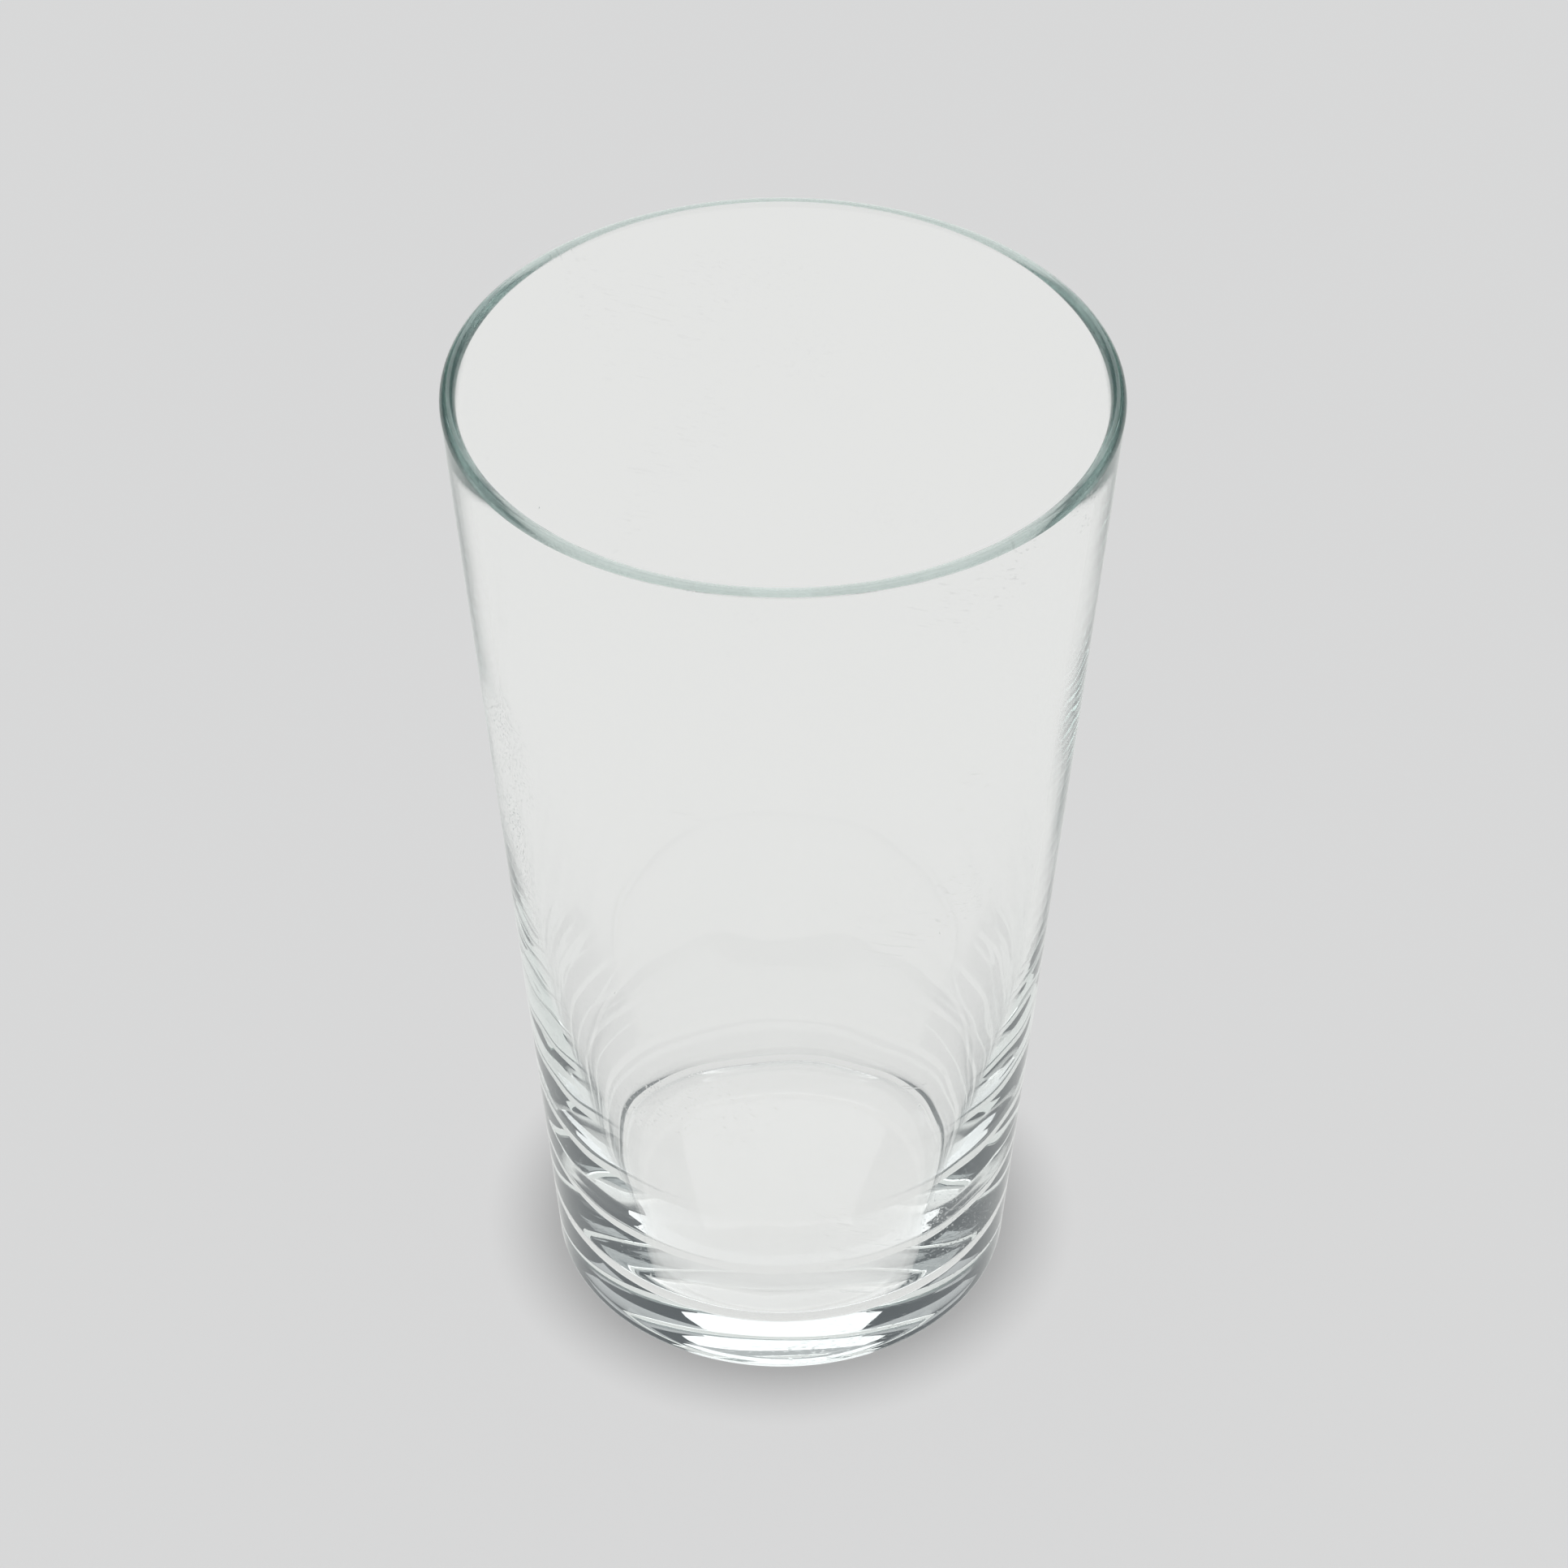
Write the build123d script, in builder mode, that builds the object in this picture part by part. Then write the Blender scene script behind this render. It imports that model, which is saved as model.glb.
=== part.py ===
"""Mixing glass: one piece of pressed soda-lime glass, a tapered tumbler with a heavy lower wall.

Millimetres, +Z up. The origin is the centre of the plane that the foot ring stands on.
The glass is a solid of revolution about Z: its half section is drawn on the XZ plane and turned.
"""

from build123d import *
import os
from math import asin, atan2, cos, hypot, sin, tan

# Outside of the glass
height = 149.2                # foot plane to the crown of the lip, 5 7/8 in
rim_diameter = 88.9           # widest part of the lip, 3 1/2 in
foot_diameter = 65.0          # where the outer wall, run straight down, meets the foot plane
heel_radius = 1.5             # rounds the wall into the foot ring

# Fire-polished lip
lip_thickness = 2.1           # the lip is a full round of this width

# Inside of the glass: a slim upper wall and a thicker lower wall, blended at the knee
knee_height = 44.0            # where the two straight inner walls would meet
wall_at_knee = 2.65           # level thickness there
wall_at_floor = 6.6           # level thickness where the lower wall would meet the floor
knee_radius = 460.0           # blends the two inner walls
base_thickness = 5.5          # foot plane to the middle of the inner floor
floor_dish = 0.5              # how much higher the floor would be where it meets the wall
floor_corner_radius = 5.0     # rounds the lower wall into the floor

# Underside
foot_ring_width = 3.0         # flat ring that bears on the bar
punt_depth = 0.8              # how far the underside rises inside the ring


def wall_lean(corner, side):
    """Lean of a wall from the vertical: a line from a corner that just touches the round of the lip.

    side is +1 for the wall that touches the outside of the lip and -1 for the inside.
    """
    across = lip_centre[0] - corner[0]
    up = lip_centre[1] - corner[1]
    return atan2(across, up) + side * asin(lip_radius / hypot(across, up))


def touch_point(lean, side):
    """Where a wall of that lean touches the round of the lip."""
    return (
        lip_centre[0] + side * lip_radius * cos(lean),
        lip_centre[1] - side * lip_radius * sin(lean),
    )


def outer_radius(at_height):
    """Radius of the outer wall at a height."""
    return foot_corner[0] + at_height * tan(outer_lean)


rim_radius = rim_diameter / 2
lip_radius = lip_thickness / 2
lip_centre = (rim_radius - lip_radius, height - lip_radius)
lip_crown = (lip_centre[0], height)

foot_corner = (foot_diameter / 2, 0)
outer_lean = wall_lean(foot_corner, +1)
lip_outside = touch_point(outer_lean, +1)

knee = (outer_radius(knee_height) - wall_at_knee, knee_height)
lip_inside = touch_point(wall_lean(knee, -1), -1)
floor_edge_height = base_thickness + floor_dish
floor_corner = (outer_radius(floor_edge_height) - wall_at_floor, floor_edge_height)
floor_middle = (0, base_thickness)

punt_edge = (foot_corner[0] - heel_radius - foot_ring_width, 0)
punt_middle = (0, punt_depth)

os.makedirs("parts", exist_ok=True)

with BuildPart() as glass_body:
    with BuildSketch(Plane.XZ) as half_section:
        with BuildLine() as outline:
            # Underside: a shallow dome, then the foot ring
            TangentArc(punt_middle, punt_edge, tangent=(1, 0))
            Line(punt_edge, foot_corner)
            # Outer wall, over the lip, and down the two inner walls
            Line(foot_corner, lip_outside)
            ThreePointArc(lip_outside, lip_crown, lip_inside)
            Polyline(lip_inside, knee, floor_corner)
            # The dished floor, and the axis back to the underside
            TangentArc(floor_middle, floor_corner, tangent=(1, 0))
            Line(floor_middle, punt_middle)
        make_face()
        for corner, radius in (
            (foot_corner, heel_radius),
            (knee, knee_radius),
            (floor_corner, floor_corner_radius),
        ):
            at_corner = half_section.vertices().sort_by_distance(corner)[0]
            fillet(at_corner, radius)
    revolve(axis=Axis.Z)

glass_body.part.label = "glass_body"
export_step(glass_body.part, "parts/glass_body.step")
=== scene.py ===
"""A clear pressed mixing glass on a pale floor, laid out as an add-on and run as a script.

Everything is in metres, +Z up, with the origin at the centre of the plane that the foot ring stands on.
"""

from math import pi

import bpy
import numpy as np
from bpy.props import FloatProperty, FloatVectorProperty, IntProperty, PointerProperty
from mathutils import Matrix, Vector


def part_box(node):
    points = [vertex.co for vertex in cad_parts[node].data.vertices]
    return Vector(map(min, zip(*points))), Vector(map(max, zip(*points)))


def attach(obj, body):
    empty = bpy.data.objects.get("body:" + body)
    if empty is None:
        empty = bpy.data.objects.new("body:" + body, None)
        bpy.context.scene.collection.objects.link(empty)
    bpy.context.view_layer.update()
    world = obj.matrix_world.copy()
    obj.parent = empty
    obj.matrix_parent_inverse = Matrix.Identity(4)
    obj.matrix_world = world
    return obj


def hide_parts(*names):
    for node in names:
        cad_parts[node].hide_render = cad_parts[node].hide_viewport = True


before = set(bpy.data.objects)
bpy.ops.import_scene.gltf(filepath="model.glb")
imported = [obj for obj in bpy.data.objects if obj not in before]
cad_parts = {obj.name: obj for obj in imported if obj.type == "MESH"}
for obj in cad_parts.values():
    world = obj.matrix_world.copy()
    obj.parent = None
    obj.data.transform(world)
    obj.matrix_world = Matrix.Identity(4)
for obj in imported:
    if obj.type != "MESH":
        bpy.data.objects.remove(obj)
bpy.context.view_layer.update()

bl_info = {
    "name": "Mixing Glass",
    "version": (1, 0, 0),
    "blender": (4, 5, 0),
    "location": "View3D > Sidebar > Mixing Glass",
    "description": "Builds a pressed bar mixing glass and the studio it stands in",
    "category": "Add Mesh",
}

MM = 0.001
LIGHT_BOUNCES = 256          # light that enters the lip runs down the whole wall, turned back at every step
FADE_BELOW_LIP = 95 * MM     # the ripple reaches its full height this far down
PAINTED_SHADOW_REACH = 11 * MM      # reach of the painted contact shadow: how close the glass must stand to darken the floor's glow
HALF_SKY = 0.5               # share of the sky that a floor point sees right at the foot of a wall, where the painted contact shadow is darkest
FLOOR_HALF = 16.0            # centre of the floor to its edge
FLOOR_GAP = 0.0001           # the floor seen through the glass lies this far below the foot
SENSOR_WIDTH = 36
CLIP_START = 0.01

# Rows of points along each part of the outline
PUNT_ROWS = 24
RING_ROWS = 3
HEEL_ROWS = 15
WALL_ROWS = 40
LIP_ROWS = 33
INNER_WALL_ROWS = 20
KNEE_ROWS = 40
LOWER_WALL_ROWS = 6
CORNER_ROWS = 33
FLOOR_ROWS = 40

# Waves of the pressed inside: direction, length in millimetres, share of the ripple height, phase
RIPPLES = (
    ((0.2, 1.0, 0.3), 26.0, 1.0, 0.6),
    ((1.0, -0.35, 0.5), 19.0, 0.55, 2.1),
    ((0.7, 0.8, -0.6), 11.0, 0.28, 4.0),
    ((-0.4, 1.0, 0.9), 7.5, 0.12, 1.3),
)
GLASS_LOW, GLASS_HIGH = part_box("glass_body")
GLASS_HEIGHT = GLASS_HIGH.z - GLASS_LOW.z
RIM_DIAMETER = GLASS_HIGH.x - GLASS_LOW.x


class GlassSizes(bpy.types.PropertyGroup):
    """Sizes of the glass that a user would change."""

    height: FloatProperty(
        name="Height", description="Foot plane to the crown of the lip",
        default=GLASS_HEIGHT, unit="LENGTH")
    rim_diameter: FloatProperty(
        name="Lip diameter", description="Widest part of the lip",
        default=RIM_DIAMETER, unit="LENGTH")
    foot_diameter: FloatProperty(
        name="Foot diameter", description="Where the outer wall would meet the foot plane",
        default=65.0 * MM, unit="LENGTH")
    heel_radius: FloatProperty(
        name="Heel radius", description="Rounds the outer wall into the foot ring",
        default=1.5 * MM, unit="LENGTH")
    lip_thickness: FloatProperty(
        name="Lip thickness", description="Width of the full round of the lip",
        default=2.1 * MM, unit="LENGTH")
    knee_height: FloatProperty(
        name="Knee height", description="Where the slim upper wall meets the thicker lower wall inside",
        default=44.0 * MM, unit="LENGTH")
    wall_at_knee: FloatProperty(
        name="Wall at the knee", description="Level thickness of the wall at the knee",
        default=2.65 * MM, unit="LENGTH")
    wall_at_floor: FloatProperty(
        name="Wall at the floor", description="Level thickness where the lower wall would meet the floor",
        default=6.6 * MM, unit="LENGTH")
    knee_radius: FloatProperty(
        name="Knee radius", description="Blends the two inner walls",
        default=460.0 * MM, unit="LENGTH")
    base_thickness: FloatProperty(
        name="Base thickness", description="Foot plane to the middle of the inner floor",
        default=5.5 * MM, unit="LENGTH")
    floor_dish: FloatProperty(
        name="Floor dish", description="How much higher the floor would be where it meets the wall",
        default=0.5 * MM, unit="LENGTH")
    floor_corner_radius: FloatProperty(
        name="Floor corner radius", description="Rounds the lower wall into the floor",
        default=5.0 * MM, unit="LENGTH")
    foot_ring_width: FloatProperty(
        name="Foot ring width", description="Flat ring that the glass stands on",
        default=3.0 * MM, unit="LENGTH")
    punt_depth: FloatProperty(
        name="Punt depth", description="How far the underside rises inside the foot ring",
        default=0.8 * MM, unit="LENGTH")
    ripple_height: FloatProperty(
        name="Ripple height", description="Faint unevenness that pressing leaves on the inside",
        default=0.03 * MM, unit="LENGTH")
    segments: IntProperty(
        name="Segments", description="Divisions round the glass", default=360, min=48)


class GlassFinish(bpy.types.PropertyGroup):
    """Colour and clarity of the glass."""

    tint: FloatVectorProperty(
        name="Tint", description="Colour that a long path through the glass takes on",
        subtype="COLOR", default=(0.45, 0.70, 0.64), min=0.0, max=1.0)
    density: FloatProperty(
        name="Tint density", description="How quickly the tint builds up, per metre",
        default=2.6, min=0.0)
    ior: FloatProperty(
        name="Index of refraction", description="Soda-lime glass is about 1.52",
        default=1.52, min=1.0)
    haze: FloatProperty(
        name="Haze", description="Roughness of the haziest wiped patches", default=0.005, min=0.0, max=1.0)
    scuff_roughness: FloatProperty(
        name="Scuff roughness", description="Roughness along a scuff", default=0.25, min=0.0, max=1.0)
    scuff_depth: FloatProperty(
        name="Scuff depth", description="How deep a scuff cuts", default=0.002 * MM, unit="LENGTH")
    wave_depth: FloatProperty(
        name="Wave depth", description="Slow fire-polished wave of the surface",
        default=0.003 * MM, unit="LENGTH")
    seed_depth: FloatProperty(
        name="Seed depth", description="How far a seed lifts the surface",
        default=0.02 * MM, unit="LENGTH")


class StageSettings(bpy.types.PropertyGroup):
    """Where the camera stands and how bright the studio is."""

    elevation: FloatProperty(
        name="Camera elevation", description="How far the camera looks down",
        default=39.78 * pi / 180, subtype="ANGLE")
    distance: FloatProperty(
        name="Camera distance", description="From the aim point on the glass's axis",
        default=0.7062, unit="LENGTH")
    aim_height: FloatProperty(
        name="Aim height", description="Height of the aim point above the floor",
        default=0.0820, unit="LENGTH")
    roll: FloatProperty(
        name="Camera roll", description="Small turn about the line of sight",
        default=0.133 * pi / 180, subtype="ANGLE")
    lens: FloatProperty(
        name="Lens", description="Focal length on a 36 mm sensor, in millimetres",
        default=117.85)
    shift: FloatProperty(
        name="Lens shift", description="Puts the glass a touch left of the middle",
        default=0.0012)
    floor_colour: FloatVectorProperty(
        name="Floor colour", description="Floor as the camera sees it beside the glass",
        subtype="COLOR", default=(0.15, 0.15, 0.15), min=0.0, max=1.0)
    floor_glow: FloatProperty(
        name="Floor glow", description="Light of its own that the seen floor adds", default=4.35)
    # Painted contact shadow: how far ambient occlusion dims the seen floor's glow near the foot
    painted_contact_shadow: FloatProperty(
        name="Contact shade", description="How much of the floor's glow is lost close to the foot",
        default=0.40, min=0.0, max=1.0)
    floor_behind_colour: FloatVectorProperty(
        name="Floor colour behind glass", description="Floor as it shows through the glass",
        subtype="COLOR", default=(0.45, 0.45, 0.442), min=0.0, max=1.0)
    floor_behind_glow: FloatProperty(
        name="Floor glow behind glass", description="Light of its own that this floor adds", default=1.50)
    sweep_colour: FloatVectorProperty(
        name="Sweep colour", description="Surroundings low down, all round",
        subtype="COLOR", default=(0.78, 0.78, 0.765), min=0.0, max=1.0)
    wall_colour: FloatVectorProperty(
        name="Wall colour", description="Dim surroundings above the sweep",
        subtype="COLOR", default=(0.075, 0.088, 0.098), min=0.0, max=1.0)
    sweep_top: FloatProperty(
        name="Sweep top", description="Sine of the elevation where the sweep begins to dim",
        default=0.08)
    wall_foot: FloatProperty(
        name="Wall foot", description="Sine of the elevation where the walls are fully dim",
        default=0.18)
    top_height: FloatProperty(
        name="Top light height", description="Above the floor", default=6.0, unit="LENGTH")
    top_back: FloatProperty(
        name="Top light setback", description="How far behind the glass its middle hangs",
        default=1.4, unit="LENGTH")
    top_width: FloatProperty(
        name="Top light width", description="Left to right", default=9.6, unit="LENGTH")
    top_depth: FloatProperty(
        name="Top light depth", description="Front to back", default=6.0, unit="LENGTH")
    top_brightness: FloatProperty(
        name="Top light brightness", description="Against a white of 1", default=0.45)
    back_distance: FloatProperty(
        name="Back light distance", description="Behind the glass", default=6.0, unit="LENGTH")
    back_width: FloatProperty(
        name="Back light width", description="Left to right", default=4.0, unit="LENGTH")
    back_height: FloatProperty(
        name="Back light height", description="Floor to its top", default=8.6, unit="LENGTH")
    back_brightness: FloatProperty(
        name="Back light brightness", description="Against a white of 1", default=1.15)


# Surfaces

def wall_lean(corner, centre, radius, side):
    """Lean of a wall from the vertical: the line from a corner that just touches the lip's circle.

    The corner sees the circle's centre at the angle atan(across / up); half the angle that the circle
    fills, asin(radius / distance), is added for its outside and taken off for its inside.
    """
    across, up = centre - corner
    return np.arctan2(across, up) + side * np.arcsin(radius / np.hypot(across, up))


def arc(centre, radius, start, end, count):
    """Points on a circle: centre + radius (cos a, sin a), with a going evenly from start to end."""
    a = np.linspace(start, end, count)
    return centre + radius * np.column_stack((np.cos(a), np.sin(a)))


def rounded(before, corner, after, radius, count):
    """A corner rounded to a radius: the circle that touches both of its straight sides.

    Its centre lies on the bisector, radius / sin(half the inside angle) from the corner.
    """
    u = (before - corner) / np.linalg.norm(before - corner)
    v = (after - corner) / np.linalg.norm(after - corner)
    half = np.arccos(np.clip(u @ v, -1, 1)) / 2
    bisector = (u + v) / np.linalg.norm(u + v)
    centre = corner + bisector * radius / np.sin(half)
    first = corner + u * radius / np.tan(half) - centre
    last = corner + v * radius / np.tan(half) - centre
    start = np.arctan2(first[1], first[0])
    turn = np.arctan2(last[1], last[0]) - start
    turn = (turn + pi) % (2 * pi) - pi
    return arc(centre, radius, start, start + turn, count)


def straight(start, end, count):
    """Points evenly along a line, without its two ends."""
    t = np.linspace(0, 1, count + 2)[1:-1, None]
    return start + (end - start) * t


def dish(middle, edge, count):
    """A shallow bowl from the axis outwards: height rises with the square of the radius."""
    t = np.linspace(0, 1, count)[:, None]
    return middle + (edge - middle) * np.column_stack((t, t * t))


def glass_outline(s):
    """Half section of the glass as (radius, height) rows: underside and outside over the lip, then inside.

    The outer wall is one line from the foot to the lip's circle. The inner wall is two lines that meet at
    the knee, the upper one touching the lip's circle, with the knee and the floor's corner rounded.
    """
    lip_radius = s.lip_thickness / 2
    lip_centre = np.array([s.rim_diameter / 2 - lip_radius, s.height - lip_radius])
    foot_corner = np.array([s.foot_diameter / 2, 0.0])
    outer = wall_lean(foot_corner, lip_centre, lip_radius, +1)
    knee = np.array([foot_corner[0] + s.knee_height * np.tan(outer) - s.wall_at_knee, s.knee_height])
    floor_edge = s.base_thickness + s.floor_dish
    floor_corner = np.array([foot_corner[0] + floor_edge * np.tan(outer) - s.wall_at_floor, floor_edge])
    floor_middle = np.array([0.0, s.base_thickness])
    ring_inside = np.array([foot_corner[0] - s.heel_radius - s.foot_ring_width, 0.0])

    punt = dish(np.array([0.0, s.punt_depth]), ring_inside, PUNT_ROWS)
    inner = wall_lean(knee, lip_centre, lip_radius, -1)
    lip = arc(lip_centre, lip_radius, -outer, pi - inner, LIP_ROWS)
    heel = rounded(ring_inside, foot_corner, lip[0], s.heel_radius, HEEL_ROWS)
    bend = rounded(lip[-1], knee, floor_corner, s.knee_radius, KNEE_ROWS)
    corner = rounded(knee, floor_corner, floor_middle, s.floor_corner_radius, CORNER_ROWS)
    outside = np.vstack((
        punt, straight(ring_inside, heel[0], RING_ROWS), heel,
        straight(heel[-1], lip[0], WALL_ROWS), lip))
    inside = np.vstack((
        straight(lip[-1], bend[0], INNER_WALL_ROWS), bend,
        straight(bend[-1], corner[0], LOWER_WALL_ROWS), corner[:-1],
        dish(floor_middle, corner[-1], FLOOR_ROWS)[::-1]))
    return outside, inside


def pressed_ripple(points, height):
    """The plunger's faint unevenness: how far the inside stands proud of its true shape.

    A sum of plane waves, each share * height * sin(2 pi (direction . point) / length + phase).
    """
    ripple = np.zeros(len(points))
    for direction, length, share, phase in RIPPLES:
        along = points @ (np.array(direction) / np.linalg.norm(direction))
        ripple += share * np.sin(2 * pi * along / (length * MM) + phase)
    return height * ripple


def turned(outside, inside, segments, ripple_height):
    """The half section carried round Z: (r cos a, r sin a, z), with one point where it meets the axis.

    The inside is then moved along its own normals by the ripple, which fades in below the lip.
    """
    outline = np.vstack((outside, inside))
    a = np.arange(segments) * 2 * pi / segments
    rings = outline[1:-1]
    x = rings[:, :1] * np.cos(a)
    y = rings[:, :1] * np.sin(a)
    z = np.repeat(rings[:, 1:], segments, axis=1)
    points = np.stack((x, y, z), -1).reshape(-1, 3)
    poles = np.array([[0.0, 0.0, outline[0, 1]], [0.0, 0.0, outline[-1, 1]]])

    run = np.gradient(outline, axis=0)
    run /= np.linalg.norm(run, axis=1, keepdims=True)
    give = np.zeros(len(outline))
    below_lip = (outline[len(outside), 1] - inside[:, 1]) / FADE_BELOW_LIP
    give[len(outside):] = np.clip(below_lip, 0, 1)
    across = np.repeat((give * run[:, 1])[1:-1], segments)
    up = np.repeat((give * -run[:, 0])[1:-1], segments)
    around = np.tile(a, len(rings))
    ripple = pressed_ripple(points, ripple_height)
    points += ripple[:, None] * np.column_stack((across * np.cos(around), across * np.sin(around), up))
    poles[1, 2] += pressed_ripple(poles[1:], ripple_height)[0]
    points = np.vstack((points, poles))

    j = np.arange(segments)
    k = (j + 1) % segments
    row = np.arange(len(rings) - 1)[:, None] * segments
    quads = np.stack((row + j, row + k, row + segments + k, row + segments + j), -1).reshape(-1, 4)
    last = (len(rings) - 1) * segments
    first_cap = np.stack((np.full(segments, len(points) - 2), k, j), -1)
    last_cap = np.stack((np.full(segments, len(points) - 1), last + j, last + k), -1)
    return points, quads, np.vstack((first_cap, last_cap))


def mesh_object(name, points, quads, triangles):
    """A smooth-shaded mesh object from arrays of points, four-sided and three-sided faces."""
    mesh = bpy.data.meshes.new(name)
    loops = np.concatenate((quads.ravel(), triangles.ravel()))
    starts = np.concatenate((np.arange(len(quads)) * 4, len(quads) * 4 + np.arange(len(triangles)) * 3))
    mesh.vertices.add(len(points))
    mesh.vertices.foreach_set("co", points.astype(np.float32).ravel())
    mesh.loops.add(len(loops))
    mesh.loops.foreach_set("vertex_index", loops.astype(np.int32))
    mesh.polygons.add(len(starts))
    mesh.polygons.foreach_set("loop_start", starts.astype(np.int32))
    mesh.update(calc_edges=True)
    mesh.polygons.foreach_set("use_smooth", np.ones(len(starts), dtype=bool))
    mesh.validate()
    piece = bpy.data.objects.new(name, mesh)
    bpy.context.scene.collection.objects.link(piece)
    return piece


# Materials

def new_material(name):
    """An empty node material and its node tree."""
    material = bpy.data.materials.new(name)
    material.use_nodes = True
    material.node_tree.nodes.clear()
    return material, material.node_tree.nodes, material.node_tree.links


def node(nodes, kind, **values):
    """A new node with some of its sockets or settings given by name."""
    made = nodes.new(kind)
    for name, value in values.items():
        title = name.replace("_", " ").title()
        if title in made.inputs:
            made.inputs[title].default_value = value
        else:
            setattr(made, name, value)
    return made


def remap(nodes, links, source, from_min, from_max, to_min, to_max):
    """A Map Range node on a value, held within its ends."""
    made = node(nodes, "ShaderNodeMapRange",
                from_min=from_min, from_max=from_max, to_min=to_min, to_max=to_max)
    links.new(source, made.inputs["Value"])
    return made.outputs["Result"]


def clear_glass(finish):
    """Clear soda-lime glass: faintly sea-green along a long path, with haze, scuffs and seeds."""
    material, nodes, links = new_material("clear_glass")
    out = nodes.new("ShaderNodeOutputMaterial")
    shader = nodes.new("ShaderNodeBsdfPrincipled")
    shader.inputs["Base Color"].default_value = (1, 1, 1, 1)
    shader.inputs["IOR"].default_value = finish.ior
    shader.inputs["Transmission Weight"].default_value = 1.0
    volume = nodes.new("ShaderNodeVolumeAbsorption")
    volume.inputs["Color"].default_value = (*finish.tint, 1)
    volume.inputs["Density"].default_value = finish.density
    place = nodes.new("ShaderNodeTexCoord").outputs["Object"]

    # Haze that a cloth leaves, in soft patches a couple of centimetres across
    patches = node(nodes, "ShaderNodeTexNoise", scale=45.0, detail=3.0, roughness=0.55)
    links.new(place, patches.inputs["Vector"])
    haze = remap(nodes, links, patches.outputs["Fac"], 0.52, 0.75, 0.0, finish.haze)

    # Fine scuffs: noise drawn out along one slanted direction, kept to its crests and to a few patches
    drawn = node(nodes, "ShaderNodeMapping", vector_type="TEXTURE")
    drawn.inputs["Rotation"].default_value = (0.3, 0.5, 0.42)
    drawn.inputs["Scale"].default_value = (1.0, 0.022, 0.022)
    links.new(place, drawn.inputs["Vector"])
    threads = node(nodes, "ShaderNodeTexNoise", scale=60.0, detail=1.0, roughness=0.4)
    links.new(drawn.outputs["Vector"], threads.inputs["Vector"])
    crests = remap(nodes, links, threads.outputs["Fac"], 0.66, 0.70, 0.0, 1.0)
    worn = node(nodes, "ShaderNodeTexNoise", scale=38.0, detail=2.0)
    links.new(place, worn.inputs["Vector"])
    patch = remap(nodes, links, worn.outputs["Fac"], 0.58, 0.64, 0.0, 1.0)
    scuff = node(nodes, "ShaderNodeMath", operation="MULTIPLY")
    links.new(crests, scuff.inputs[0])
    links.new(patch, scuff.inputs[1])

    # Seeds: pinhead bubbles just under the surface, thinly scattered
    cells = node(nodes, "ShaderNodeTexVoronoi", scale=70.0)
    links.new(place, cells.inputs["Vector"])
    seeds = remap(nodes, links, cells.outputs["Distance"], 0.010, 0.018, 1.0, 0.0)

    roughness = node(nodes, "ShaderNodeMath", operation="MULTIPLY_ADD")
    roughness.inputs[1].default_value = finish.scuff_roughness
    links.new(scuff.outputs["Value"], roughness.inputs[0])
    links.new(haze, roughness.inputs[2])
    links.new(roughness.outputs["Value"], shader.inputs["Roughness"])

    # Relief: a slow fire-polished wave, then the scuffs and the seeds on top of it
    waves = node(nodes, "ShaderNodeTexNoise", scale=70.0, detail=2.0, roughness=0.4)
    links.new(place, waves.inputs["Vector"])
    normal = None
    for height, depth in (
        (waves.outputs["Fac"], finish.wave_depth),
        (scuff.outputs["Value"], -finish.scuff_depth),
        (seeds, finish.seed_depth),
    ):
        relief = node(nodes, "ShaderNodeBump", strength=1.0, distance=depth)
        links.new(height, relief.inputs["Height"])
        if normal:
            links.new(normal, relief.inputs["Normal"])
        normal = relief.outputs["Normal"]
    links.new(normal, shader.inputs["Normal"])
    links.new(shader.outputs["BSDF"], out.inputs["Surface"])
    links.new(volume.outputs["Volume"], out.inputs["Volume"])
    return material


def lit_floor(name, colour, glow, contact):
    """A matte sheet that also glows evenly, standing in for the light a floor gets in a room that is bright
    all round.

    The glow falls by the contact share where something stands close by: a painted contact shadow round the
    foot.
    """
    material, nodes, links = new_material(name)
    out = nodes.new("ShaderNodeOutputMaterial")
    shader = nodes.new("ShaderNodeBsdfDiffuse")
    shader.inputs["Color"].default_value = (*colour, 1)
    light = nodes.new("ShaderNodeEmission")
    light.inputs["Color"].default_value = (*colour, 1)
    # Ambient occlusion of nearby geometry drives the painted contact shadow in the glow
    painted_shadow_ao = node(nodes, "ShaderNodeAmbientOcclusion", distance=PAINTED_SHADOW_REACH)
    shade = node(nodes, "ShaderNodeMapRange", from_min=HALF_SKY,
                 to_min=glow * (1 - contact), to_max=glow)
    links.new(painted_shadow_ao.outputs["AO"], shade.inputs["Value"])
    links.new(shade.outputs["Result"], light.inputs["Strength"])
    both = nodes.new("ShaderNodeAddShader")
    links.new(shader.outputs["BSDF"], both.inputs[0])
    links.new(light.outputs["Emission"], both.inputs[1])
    links.new(both.outputs["Shader"], out.inputs["Surface"])
    return material


# Studio

def floor_sheet(name, level, colour, glow, contact):
    """A flat square floor at a level."""
    corners = [(x * FLOOR_HALF, y * FLOOR_HALF, level) for x, y in ((-1, -1), (1, -1), (1, 1), (-1, 1))]
    mesh = bpy.data.meshes.new(name)
    mesh.from_pydata(corners, [], [(0, 1, 2, 3)])
    sheet = bpy.data.objects.new(name, mesh)
    bpy.context.scene.collection.objects.link(sheet)
    sheet.data.materials.append(lit_floor(name, colour, glow, contact))
    return sheet


def softbox(name, place, aim, width, height, brightness):
    """A large rectangular light that faces a point, as bright all over as a surface of that brightness."""
    data = bpy.data.lights.new(name, "AREA")
    data.shape = "RECTANGLE"
    data.size = width
    data.size_y = height
    data.energy = brightness * pi * width * height
    lamp = bpy.data.objects.new(name, data)
    lamp.location = place
    lamp.rotation_euler = (Vector(aim) - Vector(place)).to_track_quat("-Z", "Y").to_euler()
    lamp.visible_camera = False
    bpy.context.scene.collection.objects.link(lamp)
    return lamp


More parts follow.
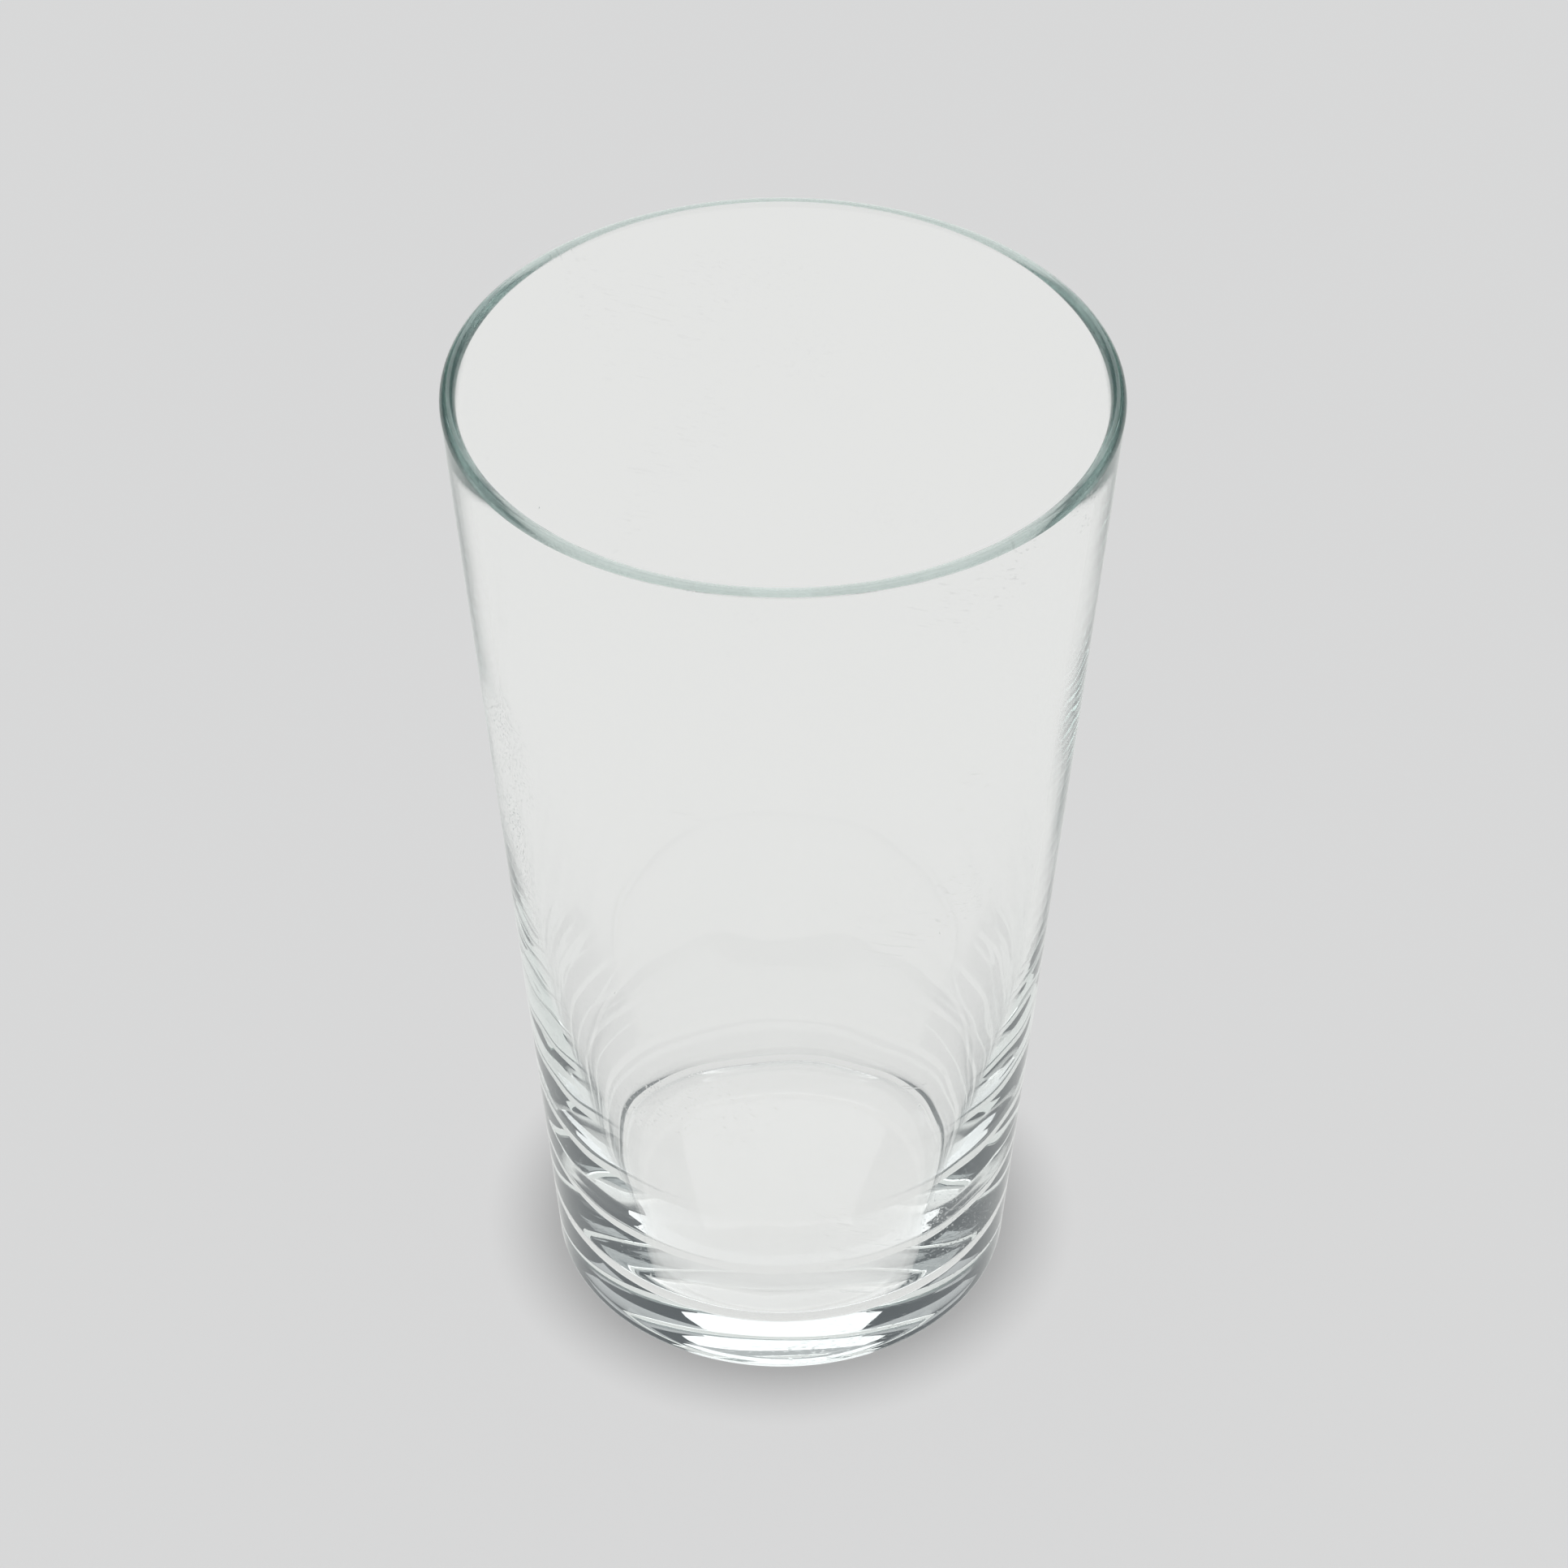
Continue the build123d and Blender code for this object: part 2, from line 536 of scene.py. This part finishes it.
def studio_world(stage):
    """Pale low down all round, where the sweep of the floor goes on, and dim walls above it."""
    world = bpy.data.worlds.new("studio")
    world.use_nodes = True
    nodes = world.node_tree.nodes
    links = world.node_tree.links
    nodes.clear()
    out = nodes.new("ShaderNodeOutputWorld")
    light = nodes.new("ShaderNodeBackground")
    direction = nodes.new("ShaderNodeTexCoord")
    axes = nodes.new("ShaderNodeSeparateXYZ")
    ramp = nodes.new("ShaderNodeValToRGB")
    sweep, wall = ramp.color_ramp.elements
    sweep.position = stage.sweep_top
    sweep.color = (*stage.sweep_colour, 1)
    wall.position = stage.wall_foot
    wall.color = (*stage.wall_colour, 1)
    links.new(direction.outputs["Generated"], axes.inputs["Vector"])
    links.new(axes.outputs["Z"], ramp.inputs["Fac"])
    seen = nodes.new("ShaderNodeBackground")
    seen.inputs["Color"].default_value = (*stage.sweep_colour, 1)
    ray = nodes.new("ShaderNodeLightPath")
    mix = nodes.new("ShaderNodeMixShader")
    links.new(ramp.outputs["Color"], light.inputs["Color"])
    links.new(ray.outputs["Is Camera Ray"], mix.inputs["Fac"])
    links.new(light.outputs["Background"], mix.inputs[1])
    links.new(seen.outputs["Background"], mix.inputs[2])
    links.new(mix.outputs["Shader"], out.inputs["Surface"])
    return world


# Operators

class MIXINGGLASS_OT_body(bpy.types.Operator):
    """Make the glass: one closed surface of revolution"""

    bl_idname = "mixing_glass.body"
    bl_label = "Glass Body"

    def execute(self, context):
        sizes = context.scene.glass_sizes
        outside, inside = glass_outline(sizes)
        points, quads, triangles = turned(outside, inside, sizes.segments, sizes.ripple_height)
        piece = mesh_object("mixing_glass_body", points, quads, triangles)
        piece.data.materials.append(clear_glass(context.scene.glass_finish))
        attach(piece, "root")
        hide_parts("glass_body")
        return {"FINISHED"}


class MIXINGGLASS_OT_stage(bpy.types.Operator):
    """Make the pale floor, the soft lights and the camera"""

    bl_idname = "mixing_glass.stage"
    bl_label = "Stage"

    def execute(self, context):
        scene = context.scene
        stage = scene.glass_stage
        scene.view_settings.view_transform = "Standard"
        scene.cycles.max_bounces = LIGHT_BOUNCES
        scene.cycles.glossy_bounces = LIGHT_BOUNCES
        scene.cycles.transmission_bounces = LIGHT_BOUNCES
        scene.world = studio_world(stage)

        # Seen floor: its glow carries a painted contact shadow round the foot
        seen = floor_sheet("floor", 0.0, stage.floor_colour, stage.floor_glow, stage.painted_contact_shadow)
        for ray in ("diffuse", "glossy", "transmission", "shadow", "volume_scatter"):
            setattr(seen, "visible_" + ray, False)
        through = floor_sheet("floor_behind_glass", -FLOOR_GAP, stage.floor_behind_colour,
                              stage.floor_behind_glow, 0.0)
        through.visible_camera = False

        softbox("soft_top", (0, stage.top_back, stage.top_height), (0, stage.top_back, 0),
                stage.top_width, stage.top_depth, stage.top_brightness)
        back_light = softbox("soft_back", (0, stage.back_distance, stage.back_height / 2),
                             (0, 0, stage.back_height / 2), stage.back_width, stage.back_height,
                             stage.back_brightness)
        back_light.visible_diffuse = False

        camera = bpy.data.cameras.new("camera")
        camera.sensor_width = SENSOR_WIDTH
        camera.lens = stage.lens
        camera.shift_x = stage.shift
        camera.clip_start = CLIP_START
        eye = bpy.data.objects.new("camera", camera)
        scene.collection.objects.link(eye)
        back = Vector((0, -np.cos(stage.elevation), np.sin(stage.elevation)))
        right = Vector((1, 0, 0))
        up = back.cross(right)
        turn = Matrix((right, up, back)).transposed() @ Matrix.Rotation(stage.roll, 3, "Z")
        place = Vector((0, 0, stage.aim_height)) + back * stage.distance
        eye.matrix_world = Matrix.Translation(place) @ turn.to_4x4()
        scene.camera = eye
        return {"FINISHED"}


class MIXINGGLASS_PT_sidebar(bpy.types.Panel):
    """Shows the glass's sizes, its finish and the stage, with buttons that build them"""

    bl_idname = "MIXINGGLASS_PT_sidebar"
    bl_label = "Mixing Glass"
    bl_space_type = "VIEW_3D"
    bl_region_type = "UI"
    bl_category = "Mixing Glass"

    def draw(self, context):
        layout = self.layout
        scene = context.scene
        for group, operator in (
            (scene.glass_sizes, MIXINGGLASS_OT_body),
            (scene.glass_finish, None),
            (scene.glass_stage, MIXINGGLASS_OT_stage),
        ):
            box = layout.box()
            for name in group.__annotations__:
                box.prop(group, name)
            if operator:
                box.operator(operator.bl_idname)


GROUPS = {"glass_sizes": GlassSizes, "glass_finish": GlassFinish, "glass_stage": StageSettings}
CLASSES = (*GROUPS.values(), MIXINGGLASS_OT_body, MIXINGGLASS_OT_stage, MIXINGGLASS_PT_sidebar)


def register():
    for cls in CLASSES:
        bpy.utils.register_class(cls)
    for name, group in GROUPS.items():
        setattr(bpy.types.Scene, name, PointerProperty(type=group))


def unregister():
    for name in GROUPS:
        delattr(bpy.types.Scene, name)
    for cls in reversed(CLASSES):
        bpy.utils.unregister_class(cls)


def main():
    register()
    bpy.ops.mixing_glass.body()
    bpy.ops.mixing_glass.stage()
    bpy.context.view_layer.update()


if __name__ == "__main__":
    main()
